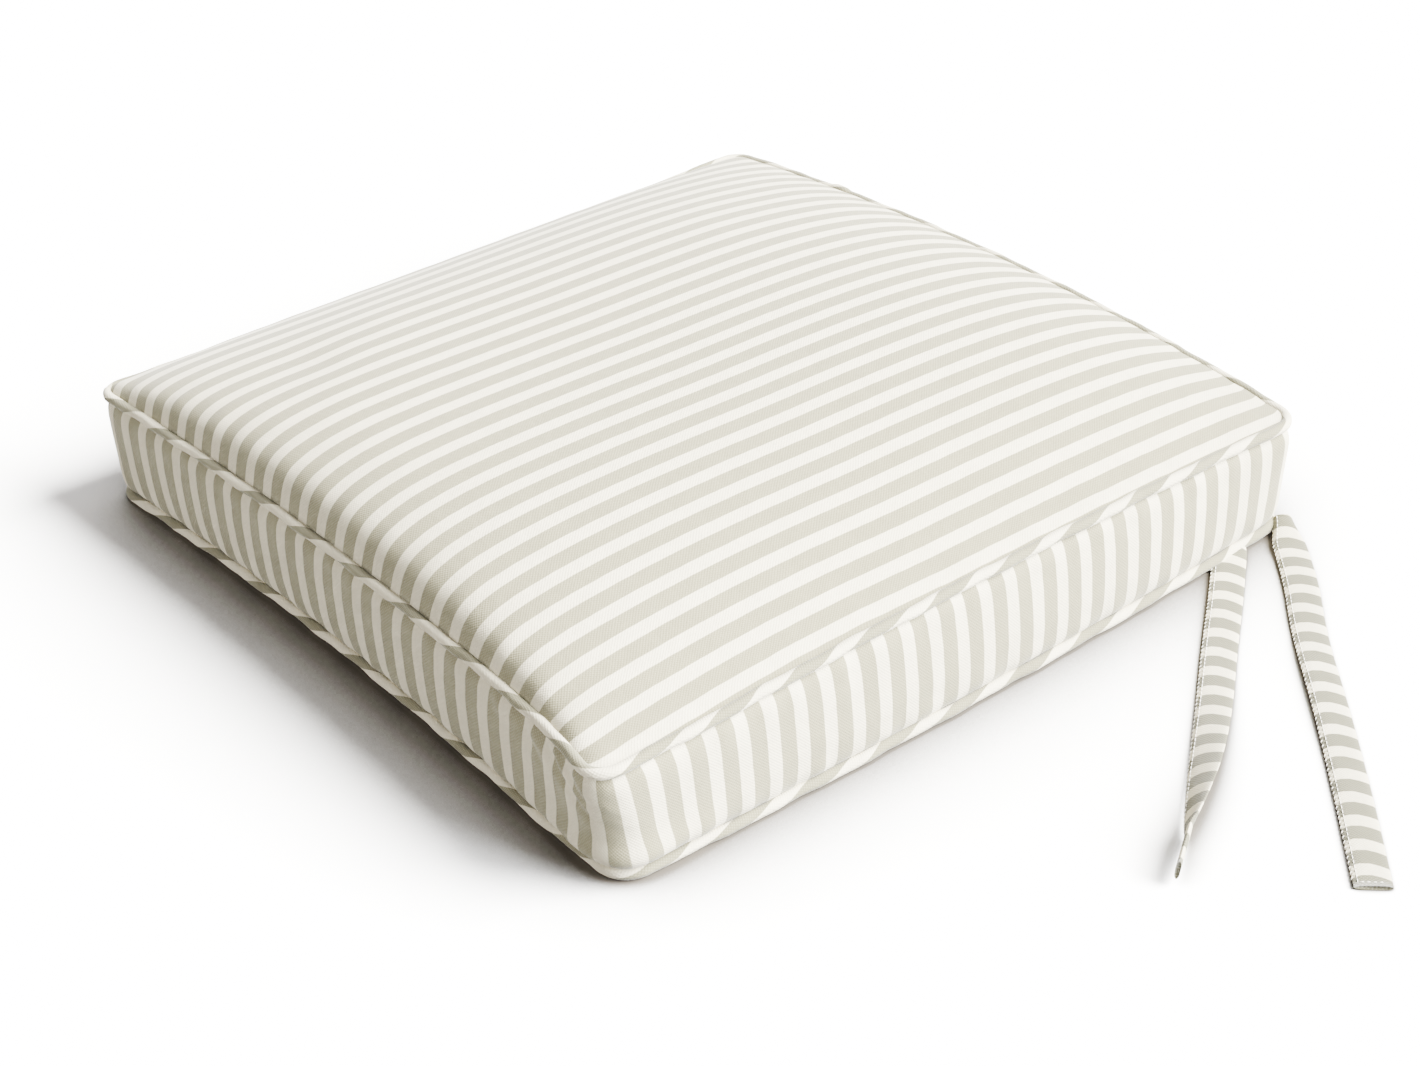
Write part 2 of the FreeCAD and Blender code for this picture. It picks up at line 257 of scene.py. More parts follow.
class Paint:
    """Builds one node material: each method adds a node and gives back its output."""

    def __init__(self, name):
        self.material = bpy.data.materials.new(name)
        self.material.use_nodes = True
        self.tree = self.material.node_tree
        self.shader = self.tree.nodes["Principled BSDF"]

    def put(self, socket, value):
        if isinstance(value, bpy.types.NodeSocket):
            self.tree.links.new(value, socket)
        elif isinstance(value, tuple) and len(value) == 3 and socket.type == "RGBA":
            socket.default_value = (*value, 1)
        else:
            socket.default_value = value

    def node(self, kind, inputs=(), output=0, **settings):
        made = self.tree.nodes.new(kind)
        for key, value in settings.items():
            setattr(made, key, value)
        for key, value in dict(inputs).items():
            self.put(made.inputs[key], value)
        return made.outputs[output]

    def math(self, operation, *values):
        return self.node("ShaderNodeMath", dict(enumerate(values)), operation=operation)

    def cloth_places(self):
        """Metres across and along the stripes, from the mesh's cloth map."""
        places = self.node("ShaderNodeUVMap", uv_map="cloth")
        across = self.node("ShaderNodeSeparateXYZ", {0: places}, "X")
        along = self.node("ShaderNodeSeparateXYZ", {0: places}, "Y")
        return places, across, along

    def object_places(self):
        return self.node("ShaderNodeTexCoord", output="Object")

    def stretched(self, places, x, y, z=1.0):
        return self.node("ShaderNodeMapping", {"Vector": places, "Scale": (x, y, z)})

    def noise(self, places, scale, detail=2.0, roughness=0.5):
        inputs = {"Vector": places, "Scale": scale, "Detail": detail, "Roughness": roughness}
        return self.node("ShaderNodeTexNoise", inputs, "Fac")

    def between(self, value, low, high, to_low=0.0, to_high=1.0):
        inputs = {"Value": value, 1: low, 2: high, 3: to_low, 4: to_high}
        return self.node("ShaderNodeMapRange", inputs, interpolation_type="SMOOTHSTEP")

    def patches(self, noise, low, high):
        """A factor from low to high that follows a noise."""
        return self.between(noise, 0.3, 0.7, low, high)

    def mix(self, share, first, second):
        mixed = self.tree.nodes.new("ShaderNodeMix")
        mixed.data_type = "RGBA"
        self.put(mixed.inputs[0], share)
        self.put(mixed.inputs[6], first)
        self.put(mixed.inputs[7], second)
        return mixed.outputs[2]

    def shade(self, colour, factor):
        """Darken or lighten a colour by a factor near 1."""
        return self.node("ShaderNodeVectorMath", {0: colour, 1: self.grey(factor)}, operation="MULTIPLY")

    def grey(self, value):
        return self.node("ShaderNodeCombineXYZ", {0: value, 1: value, 2: value})

    def bump(self, height, strength, distance, below=None):
        inputs = {"Height": height, "Strength": strength, "Distance": distance}
        if below is not None:
            inputs["Normal"] = below
        return self.node("ShaderNodeBump", inputs)

    def finish(self, **sockets):
        for key, value in sockets.items():
            self.put(self.shader.inputs[key.replace("_", " ")], value)
        return self.material


# sage: the colour of the sage stripes; the ties' and the piping's copies pass a darker sage, which is
# painted shade
def striped_cotton(name, sage=SAGE):
    """Yarn-dyed cotton canvas: ivory and sage stripes with slubs, a fine weave and a soft nap."""
    paint = Paint(name)
    places, across, along = paint.cloth_places()
    slubs = paint.noise(paint.stretched(places, 1400, 90), 1.0, 3.0, 0.6)
    weft = paint.noise(paint.stretched(places, 110, 1500), 1.0, 3.0, 0.6)
    mottle = paint.noise(places, 55, 3.0, 0.6)
    # plain weave: threads rise and dip in turn, over and under each other
    ups, overs = (
        paint.math("SINE", paint.math("MULTIPLY", way, math.pi / THREAD)) for way in (across, along)
    )
    weave = paint.math("MULTIPLY", ups, overs)
    waver = paint.math("MULTIPLY", paint.math("SUBTRACT", slubs, 0.5), 0.05)
    turns = paint.math("ADD", paint.math("DIVIDE", across, PITCH), waver)
    from_middle = paint.math("PINGPONG", turns, 0.5)
    edge = IVORY_SHARE / 2
    is_sage = paint.between(from_middle, edge - 0.018, edge + 0.018)
    pale_weft = paint.between(weave, -1.0, 0.2, 0.84, 1.0)
    colour = paint.mix(paint.math("MULTIPLY", is_sage, pale_weft), IVORY, sage)
    patch = paint.patches(mottle, 0.965, 1.03)
    fibre = paint.between(slubs, 0.25, 0.75, 0.955, 1.035)
    cross_fibre = paint.between(weft, 0.25, 0.75, 0.965, 1.03)
    tone = paint.math("MULTIPLY", patch, paint.math("MULTIPLY", fibre, cross_fibre))
    colour = paint.shade(colour, tone)
    height = paint.math("ADD", weave, paint.math("MULTIPLY", paint.math("ADD", slubs, weft), 1.3))
    rumple = paint.noise(places, 130, 3.0, 0.55)
    folds = paint.bump(rumple, 0.35, 1.1 * MM)
    normal = paint.bump(height, 0.6, 0.12 * MM, folds)
    return paint.finish(
        Base_Color=colour,
        Roughness=paint.between(slubs, 0.2, 0.8, 0.82, 0.95),
        Normal=normal,
        Sheen_Weight=0.25,
        Sheen_Roughness=0.45,
        Specular_IOR_Level=0.25,
    )


def sewing_thread():
    """Twisted ivory thread."""
    paint = Paint("sewing_thread")
    places = paint.object_places()
    twist = paint.noise(paint.stretched(places, 2600, 2600, 900), 1.0, 2.0)
    return paint.finish(
        Base_Color=paint.shade(THREAD_IVORY, paint.patches(twist, 0.86, 1.05)),
        Roughness=0.55,
        Sheen_Weight=0.2,
        Normal=paint.bump(twist, 0.5, 0.15 * MM),
    )


def fibre_fill(name, colour, scale, roughness):
    """Loose white fibres: polyester wadding, or the twisted cotton inside the piping."""
    paint = Paint(name)
    places = paint.object_places()
    tufts = paint.noise(places, scale, 5.0, 0.7)
    strands = paint.noise(paint.stretched(places, 1.0, 6.0, 1.0), scale * 4, 4.0, 0.7)
    tone = paint.math("MULTIPLY", paint.patches(tufts, 0.88, 1.04), paint.patches(strands, 0.94, 1.03))
    height = paint.math("ADD", tufts, paint.math("MULTIPLY", strands, 0.4))
    return paint.finish(
        Base_Color=paint.shade(colour, tone),
        Roughness=roughness,
        Sheen_Weight=0.4,
        Normal=paint.bump(height, 0.8, 0.8 * MM),
    )


def foam():
    """Cut upholstery foam: a cream face full of fine open cells."""
    paint = Paint("foam")
    places = paint.object_places()
    cells = paint.node("ShaderNodeTexVoronoi", {"Vector": places, "Scale": 900.0}, "Distance")
    cloud = paint.noise(places, 30, 3.0)
    # painted shade: the cream is darkened in the open cells, where shade falls
    pore_shade = paint.between(cells, 0.1, 0.5, 0.72, 1.0)
    return paint.finish(
        Base_Color=paint.shade(FOAM_CREAM, paint.math("MULTIPLY", pore_shade, paint.patches(cloud, 0.95, 1.03))),
        Roughness=0.92,
        Normal=paint.bump(cells, 0.6, 0.6 * MM),
    )


def zip_tape():
    """Woven polyester tape, a close herringbone in ivory."""
    paint = Paint("zip_tape")
    places, across, along = paint.cloth_places()
    zigzag = paint.math("PINGPONG", paint.math("DIVIDE", along, 3.2 * MM), 0.5)
    slanted = paint.math("ADD", across, paint.math("MULTIPLY", zigzag, 3 * MM))
    rib = paint.math("SINE", paint.math("MULTIPLY", slanted, math.tau / (0.9 * MM)))
    slubs = paint.noise(places, 900, 2.0)
    # painted shade: the tape is darker in the grooves of its ribs, where the bump is low
    tone = paint.math("MULTIPLY", paint.between(rib, -1, 1, 0.9, 1.03), paint.patches(slubs, 0.95, 1.03))
    return paint.finish(
        Base_Color=paint.shade(TAPE_IVORY, tone),
        Roughness=0.7,
        Sheen_Weight=0.2,
        Normal=paint.bump(rib, 0.5, 0.12 * MM),
    )


def zip_coil():
    """Moulded nylon teeth with a soft shine."""
    paint = Paint("zip_coil")
    scuffs = paint.noise(paint.object_places(), 700, 3.0)
    return paint.finish(
        Base_Color=paint.shade(TEETH_IVORY, paint.patches(scuffs, 0.93, 1.03)),
        Roughness=paint.patches(scuffs, 0.28, 0.42),
        Normal=paint.bump(scuffs, 0.2, 0.05 * MM),
    )


def zip_metal():
    """Nickel-plated zinc, brushed by use along its edges."""
    paint = Paint("zip_metal")
    places = paint.object_places()
    brushed = paint.noise(paint.stretched(places, 300, 3000, 3000), 1.0, 3.0)
    worn = paint.noise(places, 260, 4.0, 0.6)
    return paint.finish(
        Base_Color=paint.shade(NICKEL, paint.between(worn, 0.35, 0.65, 0.84, 1.04)),
        Metallic=1.0,
        Roughness=paint.between(brushed, 0.25, 0.75, 0.2, 0.42),
        Normal=paint.bump(brushed, 0.25, 0.03 * MM),
    )


def pale_floor():
    """A white sheet with a painted shadow: its colour darkens close under the pad, by how open the floor is
    there.
    """
    paint = Paint("pale_floor")
    cloud = paint.noise(paint.object_places(), 3, 2.0)
    inputs = {"Distance": SHADOW_REACH}
    openness = paint.node("ShaderNodeAmbientOcclusion", inputs, "AO", samples=16)
    # painted shadow: the floor's colour mixes towards FLOOR_SHADOW where the pad closes it in
    colour = paint.mix(paint.between(openness, 0.46, 0.99), FLOOR_SHADOW, FLOOR_WHITE)
    colour = paint.shade(colour, paint.patches(cloud, 0.995, 1.0))
    return paint.finish(Base_Color=colour, Roughness=0.9, Specular_IOR_Level=0.1)


# ==== meshes ====


def new_piece(name, points, faces, material, cloth=None, smooth=True):
    """A mesh piece. cloth gives each point's place on the flat cloth, in metres."""
    mesh = bpy.data.meshes.new(name)
    mesh.from_pydata([tuple(p) for p in points], [], [tuple(int(i) for i in f) for f in faces])
    if cloth is not None:
        layer = mesh.uv_layers.new(name="cloth")
        corners = np.empty(len(mesh.loops), dtype=np.int32)
        mesh.loops.foreach_get("vertex_index", corners)
        layer.data.foreach_set("uv", np.asarray(cloth, dtype=np.float32)[corners].ravel())
    mesh.polygons.foreach_set("use_smooth", [smooth] * len(mesh.polygons))
    mesh.materials.append(material)
    piece = bpy.data.objects.new(name, mesh)
    bpy.context.collection.objects.link(piece)
    return piece


def grid_faces(rows, columns, close_rows=False, close_columns=False, start=0):
    """Quads of a grid whose points run row by row."""
    last_row = rows if close_rows else rows - 1
    last_column = columns if close_columns else columns - 1
    i, j = np.meshgrid(np.arange(last_row), np.arange(last_column), indexing="ij")
    i, j = i.ravel(), j.ravel()
    k, m = (i + 1) % rows, (j + 1) % columns
    quads = np.stack([i * columns + j, k * columns + j, k * columns + m, i * columns + m], axis=1)
    return quads + start


def tube_faces(rows, count, start=0, clockwise=False):
    """Faces of a closed tube. clockwise says which way its rings run, seen from its far end."""
    faces = grid_faces(rows, count, close_columns=True, start=start).tolist()
    first = list(range(start, start + count))
    last = [i + (rows - 1) * count for i in first]
    if clockwise:
        return faces + [first, last[::-1]]
    return [face[::-1] for face in faces] + [first[::-1], last]


def tubes_piece(name, tubes, material, clockwise, mapped):
    """One piece from many short closed tubes of the same size, each an array of rings."""
    rows, count = tubes[0].shape[:2]
    starts = range(0, len(tubes) * rows * count, rows * count)
    faces = [face for start in starts for face in tube_faces(rows, count, start, clockwise)]
    points = np.concatenate(tubes).reshape(-1, 3)
    return new_piece(name, points, faces, material, np.zeros((len(points), 2)) if mapped else None)


def round_rings(middle, first, second, radius, count):
    """Rings of points round a line, which turn from the first direction to the second."""
    angles = np.linspace(0, math.tau, count, endpoint=False)[:, None]
    spokes = first[:, None] * np.cos(angles) + second[:, None] * np.sin(angles)
    return middle[:, None] + spokes * np.reshape(radius, (-1, 1, 1))


def grid_piece(name, points, cloth, material, close_rows=False, close_columns=False):
    rows, columns = points.shape[:2]
    faces = grid_faces(rows, columns, close_rows, close_columns)
    return new_piece(name, points.reshape(-1, 3), faces, material, cloth.reshape(-1, 2))


def thicken(piece, thickness=CLOTH, levels=1):
    """Smooth a sheet and give it its thickness, towards its inner side."""
    if levels:
        smooth = piece.modifiers.new("smooth", "SUBSURF")
        smooth.levels = smooth.render_levels = levels
    solid = piece.modifiers.new("thickness", "SOLIDIFY")
    solid.thickness = thickness
    solid.offset = -1
    with bpy.context.temp_override(object=piece, active_object=piece):
        for name in piece.modifiers.keys():
            bpy.ops.object.modifier_apply(modifier=name)


def join(name, pieces):
    """One piece from several, which keeps their materials."""
    with bpy.context.temp_override(active_object=pieces[0], selected_editable_objects=pieces):
        bpy.ops.object.join()
    pieces[0].name = name
    return pieces[0]


def ripple(places, waves):
    """A sum of sine waves along a line: (wavelength, height, offset) each."""
    total = np.zeros_like(places)
    for length, height, offset in waves:
        total += height * np.sin(math.tau * places / length + offset)
    return total


def unit(vectors):
    return vectors / np.linalg.norm(vectors, axis=-1, keepdims=True)


def arc_lengths(points):
    """Running length of a line of points, or of each line along the first axis of a grid."""
    steps = np.linalg.norm(np.diff(points, axis=0), axis=-1)
    return np.concatenate([np.zeros_like(steps[:1]), np.cumsum(steps, axis=0)])


# ==== seams and cover ====


def near_pull(turns):
    """How much of the near corner's own shift a place round the pad takes, 0 to 1."""
    from_near = (turns - NEAR_CORNER + 2) % 4 - 2
    return np.exp(-((from_near * 2 * HALF / (38 * MM)) ** 2))


def seam(turns, shape):
    """Points on a piped seam, and the outward direction at each."""
    turns = np.asarray(turns, dtype=float) % 4
    side_before = np.floor(turns).astype(int)
    part = turns - side_before
    radius = shape["radius"]
    straight = shape["half"] - radius
    arc = radius * math.pi / 2
    along = part * (2 * straight + arc)
    angle = np.clip((along - straight) / radius, 0, math.pi / 2)
    x = np.minimum(along, straight) + radius * np.sin(angle)
    y = -straight - radius * np.cos(angle) + np.maximum(along - straight - arc, 0)
    outward = np.stack([np.sin(angle), -np.cos(angle)], axis=-1)
    side = np.where(part < 0.5, side_before, (side_before + 1) % 4)
    from_middle = 2 * np.where(part < 0.5, part, 1 - part)
    fullness = 1 - from_middle**2
    bow = np.asarray(shape["bows"])[side] * fullness
    flat = np.stack([x, y], axis=-1) + outward * bow[:, None]
    quarter = side_before * math.pi / 2
    cos, sin = np.cos(quarter), np.sin(quarter)

    def turned(vector):
        x, y = vector.T
        return np.stack([x * cos - y * sin, x * sin + y * cos], axis=-1)

    z = shape["z"] + np.asarray(shape["lifts"])[side] * fullness
    points = np.concatenate([turned(flat), z[:, None]], axis=1)
    points[:, :2] += near_pull(turns)[:, None] * np.asarray(shape["near_corner"])
    outward = np.concatenate([turned(outward), np.zeros((len(turns), 1))], axis=1)
    return points, outward


def even_steps(count, easing=0.28):
    """From -1 to 1, a little closer together near the ends."""
    steps = np.linspace(-1, 1, count)
    return (1 - easing) * steps + easing * np.sin(steps * math.pi / 2)


def panel_patch(steps, shape, inward, drop):
    """A panel held by the seam all round, flat but for the seam's rise: points at each pair of steps."""

    def edge(turns):
        points, outward = seam(turns, shape)
        points = points - outward * inward
        points[:, 2] -= drop
        return points

    front, right = edge(FRONT + steps / 2), edge(RIGHT + steps / 2)
    back, left = edge(BACK - steps / 2), edge(LEFT - steps / 2)
    s = ((steps + 1) / 2)[:, None, None]
    t = ((steps + 1) / 2)[None, :, None]
    across = (1 - s) * left[None] + s * right[None]
    along = (1 - t) * front[:, None] + t * back[:, None]
    corners = (
        (1 - s) * (1 - t) * front[0] + s * (1 - t) * front[-1] + s * t * back[-1] + (1 - s) * t * back[0]
    )
    return across + along - corners


def rise(distance, edge):
    length, power = EDGES[edge]
    whole = 1 - math.exp(-((HALF / length) ** power))
    return (1 - np.exp(-((np.maximum(distance, 0) / length) ** power))) / whole


def top_shape(sink=0.0, count=CELLS_PER_SIDE + 1):
    """The domed top, and each point's place on the cloth. sink lowers it, for what lies under it."""
    steps = even_steps(count)
    points = panel_patch(steps, TOP_SEAM, TOP_TUCK + sink, sink - TOP_SEWN)
    reach = HALF * (steps + 1)
    reach_back = HALF * (1 - steps)
    across = rise(reach, LEFT) * rise(reach_back, RIGHT)
    along = rise(reach - 1.0 * MM, FRONT) * rise(reach_back, BACK)
    dome = across[:, None] * along[None, :]
    points[..., 2] += CROWN * dome / dome.max()
    # small gathers along the seams, deepest at the front where the panel is eased in
    gathers_x = ripple(points[..., 0], [(31 * MM, 0.30, 0.4), (19 * MM, 0.25, 2.1), (12.5 * MM, 0.15, 4.0)])
    gathers_y = ripple(points[..., 1], [(37 * MM, 0.30, 1.2), (21 * MM, 0.25, 3.3), (13.5 * MM, 0.15, 0.7)])
    near_front = np.exp(-((reach / (16 * MM)) ** 2))[None, :] * (1 - np.exp(-reach / (4 * MM)))[None, :]
    near_back = np.exp(-((reach_back / (14 * MM)) ** 2))[None, :]
    near_left = np.exp(-((reach / (14 * MM)) ** 2))[:, None]
    near_right = np.exp(-((reach_back / (14 * MM)) ** 2))[:, None]
    points[..., 2] += 1.5 * MM * gathers_x * near_front + 0.5 * MM * gathers_x * near_back
    points[..., 2] += 0.5 * MM * gathers_y * (near_left + near_right)
    widths = arc_lengths(points)
    filling_out = np.clip((steps + 1) / 0.8, 0, 1)
    more = MORE_STRIPES * filling_out * (2 - filling_out)
    slipping = np.clip(steps + 1, 0, 1)
    slip = TOP_SLIP * slipping * (2 - slipping)
    stripes = widths / widths[-1] * (TOP_STRIPES + more) - TOP_FIRST - slip
    depths = arc_lengths(points.transpose(1, 0, 2)).T
    cloth = np.stack([stripes * PITCH, depths], axis=-1)
    return points, cloth


def boxing_places(turns):
    """Metres round the boxing's cloth, so that an ivory stripe's middle is at whole pitches."""
    side = 2 * (HALF - CORNER_RADIUS) + CORNER_RADIUS * math.pi / 2
    eased_x, eased_y = np.outer(TOP_SEAM["near_corner"], near_pull(turns))
    slide = FRONT_SLIDE * near_pull(turns) ** 0.07
    front_stripe = (turns * side + eased_x - slide - FRONT_IVORY_X) / PITCH
    right_stripe = CORNER_STRIPE + ((turns - 1) * side + eased_y - RIGHT_IVORY_Y) / PITCH
    share = np.clip((turns - 0.46) / 0.08, 0, 1)
    share = share * share * (3 - 2 * share)
    return (front_stripe * (1 - share) + right_stripe * share) * PITCH


def creases(turns, height):
    """Depth of the diagonal creases, where the near corner's cloth is pulled from the top seam."""
    along = (turns - NEAR_CORNER) * 2 * HALF
    depth = np.zeros(np.broadcast(turns, height).shape)
    for start, slope, width, deep, low in CREASES:
        line = start + slope * (1 - height)
        ends = np.clip((height - low) / 0.2, 0, 1) * np.clip((1 - height) / 0.08, 0, 1)
        valley = np.exp(-(((along - line) / width) ** 2))
        ridge = np.exp(-(((along - line) / width - 1.7) ** 2))
        depth += deep * (valley - 0.55 * ridge) * ends
    return depth


def boxing_shape(turns, heights, sink=0.0):
    """The boxing between the seams, turns by heights (0 at the bottom seam to 1 at the top)."""
    top, top_outward = seam(turns, TOP_SEAM)
    bottom, bottom_outward = seam(turns, BOTTOM_SEAM)
    outward = unit(top_outward + bottom_outward)
    tuck = SEAM_TUCK + sink
    top = top - outward * tuck - np.array([0, 0, BOXING_GAP])
    bottom = bottom - outward * tuck + np.array([0, 0, BOXING_GAP])
    v = heights[None, :]
    side = np.floor(turns % 4).astype(int)
    part = turns % 4 - side
    bellies = np.asarray(BELLIES)
    nearer = np.where(part < 0.5, side, (side + 1) % 4)
    from_middle = 2 * np.where(part < 0.5, part, 1 - part)
    belly = CORNER_BELLY + (bellies[nearer] - CORNER_BELLY) * (1 - from_middle**4)
    fullness = 1 - np.abs(2 * v - 1) ** np.where(v > 0.5, UPPER_POWER, LOWER_POWER)
    out = (belly + SEAM_TUCK)[:, None] * fullness
    low_roll = np.exp(-(((v - 0.13) / 0.15) ** 2)) * (1 - np.exp(-v / 0.05))
    out = out + LOW_ROLL * np.sqrt(near_pull(turns))[:, None] * low_roll
    places = turns * 2 * HALF
    pulls = ripple(places, [(34 * MM, 0.35, 0.2), (22 * MM, 0.30, 2.4), (14 * MM, 0.18, 1.1)])
    near_top = np.exp(-((1 - v) / 0.16)) * (1 - np.exp(-((1 - v) / 0.05)))
    near_bottom = np.exp(-(v / 0.16)) * (1 - np.exp(-(v / 0.05)))
    is_back = np.abs(turns - BACK) < ZIP_HALF / (2 * HALF) + 0.02
    calm = np.where(is_back, 0.2, 1.0)[:, None]
    out = out + 2.0 * MM * calm * pulls[:, None] * near_top
    out = out + 1.8 * MM * calm * pulls[::-1, None] * near_bottom
    v = v[..., None]
    points = bottom[:, None] * (1 - v) + top[:, None] * v + outward[:, None] * out[..., None]
    lengths = arc_lengths(points.transpose(1, 0, 2)).T
    places_round = np.broadcast_to(boxing_places(turns)[:, None], lengths.shape)
    return points, np.stack([places_round, lengths], axis=-1)


def turns_between(first, last, per_side=CELLS_PER_SIDE):
    """Places round the pad, as close together as the panels' cells."""
    return np.linspace(first, last, int(round((last - first) * per_side)) + 1)


def smoothed(grid, passes):
    """Even out a grid of moves between its fixed edges, so that the cloth is full but not wrinkled."""
    for _ in range(passes):
        sides = grid[:-2, 1:-1] + grid[2:, 1:-1] + grid[1:-1, :-2] + grid[1:-1, 2:]
        grid[1:-1, 1:-1] = 0.5 * grid[1:-1, 1:-1] + 0.125 * sides
    return grid


def inflate(pieces, pressure=3.0, frames=20):
    """Blow the held cloth out a little with Blender's cloth simulation, and keep the result.

    Each piece comes with its grid's shape, the most it may swell, and its rounds of smoothing.
    """
    starts = {}
    for piece, shape, _, _ in pieces:
        held = grid_border(*shape)
        pins = piece.vertex_groups.new(name="held")
        pins.add([int(i) for i in held], 1.0, "REPLACE")
        starts[piece.name] = np.array([v.co for v in piece.data.vertices])
        cloth = piece.modifiers.new("cloth", "CLOTH")
        cloth.settings.quality = 4
        cloth.settings.mass = 0.25
        cloth.settings.tension_stiffness = 25
        cloth.settings.compression_stiffness = 12
        cloth.settings.bending_stiffness = 0.6
        cloth.settings.vertex_group_mass = pins.name
        cloth.settings.use_pressure = True
        cloth.settings.uniform_pressure_force = pressure
        cloth.settings.effector_weights.gravity = 0
        cloth.point_cache.frame_start = 1
        cloth.point_cache.frame_end = frames
    for number in range(1, frames + 1):
        bpy.context.scene.frame_set(number)
    depsgraph = bpy.context.evaluated_depsgraph_get()
    for piece, shape, cap, passes in pieces:
        blown = np.array([v.co for v in piece.evaluated_get(depsgraph).data.vertices])
        piece.modifiers.remove(piece.modifiers["cloth"])
        piece.vertex_groups.clear()
        moved = blown - starts[piece.name]
        moved = smoothed(moved.reshape(*shape, 3), passes).reshape(-1, 3)
        far = np.maximum(np.linalg.norm(moved, axis=1, keepdims=True), 1e-9)
        moved *= cap * np.tanh(far / cap) / far
        piece.data.vertices.foreach_set("co", (starts[piece.name] + moved).ravel())
        piece.data.update()
    bpy.context.scene.frame_set(1)


def grid_border(rows, columns):
    """Numbers of the points on a grid's border."""
    numbers = np.arange(rows * columns).reshape(rows, columns)
    return np.unique(np.concatenate([numbers[:, 0], numbers[:, -1], numbers[0], numbers[-1]]))


def make_cover(cotton):
    """The top, the boxing and the bottom; the top and the boxing are held at their seams, then blown out.
    """
    points, cloth = top_shape()
    top = grid_piece("top_panel", points, cloth, cotton)
    gap = (ZIP_HALF + 1.2 * MM) / (2 * HALF)
    turns = turns_between(BACK + gap - 4, BACK - gap, BOXING_CELLS)
    heights = (even_steps(BOXING_ROWS + 1, 0.25) + 1) / 2
    sides, sides_cloth = boxing_shape(turns, heights)
    boxing = grid_piece("boxing_band", sides, sides_cloth, cotton)
    bottom = make_bottom(cotton)
    inflate([(top, points.shape[:2], *TOP_SWELL), (boxing, sides.shape[:2], *BOXING_SWELL)])
    crease(boxing, turns, heights)
    for piece in (top, boxing, bottom):
        thicken(piece)
    return top, boxing, bottom


def crease(boxing, turns, heights):
    """Pinch the creases into the blown-out boxing, pushing its points inwards."""
    places = np.array([v.co for v in boxing.data.vertices])
    depth = creases(turns[:, None], heights[None, :]).ravel()
    _, outward = seam(np.repeat(turns, len(heights)), TOP_SEAM)
    boxing.data.vertices.foreach_set("co", (places - outward * depth[:, None]).ravel())
    boxing.data.update()


def make_bottom(cotton):
    """The underside: it rolls in from the seam and lies flat on what the pad rests on."""
    steps = even_steps(61)
    points = panel_patch(steps, BOTTOM_SEAM, 2.4 * MM, 0.8 * MM)
    inside = np.minimum(HALF * (1 - np.abs(steps))[:, None], HALF * (1 - np.abs(steps))[None, :])
    settle = np.exp(-((inside / (9 * MM)) ** 1.4))
    rest = CLOTH + 0.1 * MM
    points[..., 2] = rest + (points[..., 2] - rest) * settle
    cloth = np.stack([points[..., 0] - FRONT_IVORY_X, points[..., 1]], axis=-1)
    return grid_piece("bottom_panel", points[:, ::-1], cloth[:, ::-1], cotton)


# ==== piping ====


def tube(name, centre, outward, radius, around, cloth_of, material):
    """A tube along a level line of points. radius is one number, or one for each point of the rings."""
    angles = np.linspace(0, math.tau, around + 1)
    radius = np.broadcast_to(radius, (len(centre), around + 1))
    rings = (
        centre[:, None]
        + outward[:, None] * (radius * np.cos(angles))[..., None]
        + np.array([0, 0, 1.0]) * (radius * np.sin(angles))[..., None]
    )
    return grid_piece(name, rings, cloth_of(angles), material)


def piping_radius(turns, along, around, joined):
    """The cover's radius, puckered along the cord and slantwise, and thicker where its ends overlap."""
    angles = np.linspace(0, math.tau, around + 1)
    puckers = ripple(along, [(23 * MM, 0.5, 0.3), (9.1 * MM, 0.35, 1.9), (14.3 * MM, 0.4, 4.4)])
    slant = ripple(along[:, None] + angles * 9 * MM, [(17 * MM, 1.0, 0.0), (7.3 * MM, 0.6, 1.0)])
    radius = PIPING_RADIUS * (1 + 0.018 * puckers[:, None] + 0.014 * slant)
    if joined:
        from_join = (turns - JOIN_PLACE) * 2 * HALF
        radius *= (1 + JOIN_BULGE * np.exp(-((from_join / JOIN_LENGTH) ** 4)))[:, None]
    radius[:, -1] = radius[:, 0]
    return radius


def bias_cloth(turns, along, angles, phase):
    """Places on the bias-cut cover, whose stripes run slantwise round the cord."""
    girth = angles[None] * PIPING_RADIUS
    pairs = (along[:, None] * math.sin(BIAS) - girth * math.cos(BIAS)) / PITCH + phase
    front = np.clip(3 - np.abs(turns) * 6, 0, 1)
    back = np.clip(3 - np.abs(turns - BACK) * 6, 0, 1)
    # along the front the ivory is widened; along the back the sage is widened as painted shade
    ease_and_shade = (FRONT_EASE * front + BACK_SHADE_EASE * back)[:, None]
    u = (pairs - ease_and_shade * np.sin(math.tau * pairs) / math.tau) * PITCH
    v = along[:, None] * math.cos(BIAS) + girth * math.sin(BIAS)
    return np.stack([u, v], axis=-1)


